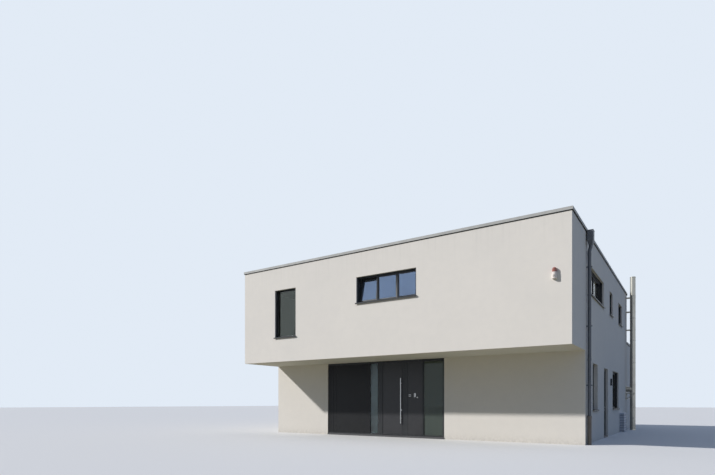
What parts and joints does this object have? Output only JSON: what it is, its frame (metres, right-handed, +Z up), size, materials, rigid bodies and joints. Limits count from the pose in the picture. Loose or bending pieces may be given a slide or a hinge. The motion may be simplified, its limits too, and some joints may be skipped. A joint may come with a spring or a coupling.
{
  "type": "two-storey flat-roofed detached house",
  "caption": "White rendered two-storey house with a flat roof, an upper storey that stands out over the entrance, hinged doors, metal windows and a roof terrace behind.",
  "frame": {"origin": "at ground level, in the middle of the whole object's plan", "axes": "+X to the right along the street front, +Y back from the street, +Z up"},
  "size_m": [12.1844, 14.909, 6.87],
  "materials": {
    "white_render": "fine mineral render, painted white",
    "concrete": "smooth",
    "roof_gravel": "loose gravel",
    "terrace_paving": "concrete slabs",
    "threshold_stone": "honed",
    "anthracite": "fine matt powder coat",
    "anthracite_panel": "satin powder coat",
    "glass": "clear float",
    "coping_grey": "mid-grey sheet, satin",
    "stainless": "brushed",
    "dark_zinc": "weathered",
    "brown_pipe": "matt",
    "siren_white": "gloss",
    "siren_red": "translucent",
    "lamp_dark": "satin",
    "cabinet_grey": "satin"
  },
  "bodies": {
    "house": {"ground_floor": "concrete", "front_wall_left": "white_render", "front_wall_right": "white_render", "right_wall_front": "white_render", "right_wall_rear": "white_render", "right_wall_over_door": "white_render", "left_wall": "white_render", "rear_wall": "white_render", "upper_floor": "white_render", "upper_front_wall": "white_render", "upper_right_wall": "white_render", "upper_left_wall": "white_render", "upper_rear_wall": "white_render", "roof_slab": "roof_gravel", "terrace_slab": "terrace_paving", "terrace_parapet": "white_render", "wall_copings": "coping_grey", "front_window_frames": "anthracite", "right_window_frames": "anthracite", "left_window_frames": "anthracite", "rear_window_frames": "anthracite", "front_window_glass": "glass", "right_window_glass": "glass", "left_window_glass": "glass", "rear_window_glass": "glass", "tilted_sash": "anthracite", "window_sills": "anthracite", "entrance_frame": "anthracite", "entrance_panels": "anthracite_panel", "entrance_glass": "glass", "door_thresholds": "threshold_stone", "side_door_frame": "anthracite", "door_hinges": "stainless", "door_bell": "stainless", "siren_box": "siren_white", "siren_dome": "siren_red", "wall_lamp": "lamp_dark", "rain_hopper": "dark_zinc", "downpipe": "dark_zinc", "stand_pipe": "brown_pipe", "pipe_clips": "dark_zinc", "flue_pipe": "stainless", "flue_supports": "stainless", "louvred_cabinet": "cabinet_grey"},
    "front_door": {"front_door": "anthracite_panel", "front_door_handles": "stainless"},
    "side_door": {"side_door": "anthracite_panel", "side_door_levers": "stainless"}
  },
  "joints": [
    {"name": "front_door_hinge", "type": "hinge", "parent": "house", "child": "front_door", "pos_m": [-1.05115, -5.3525, 0.06], "axis": [0, 0, 1], "range_deg": [0, 95]},
    {"name": "side_door_hinge", "type": "hinge", "parent": "house", "child": "side_door", "pos_m": [5.52985, -1.8635, 0.06], "axis": [0, 0, 1], "range_deg": [0, 95]}
  ]
}
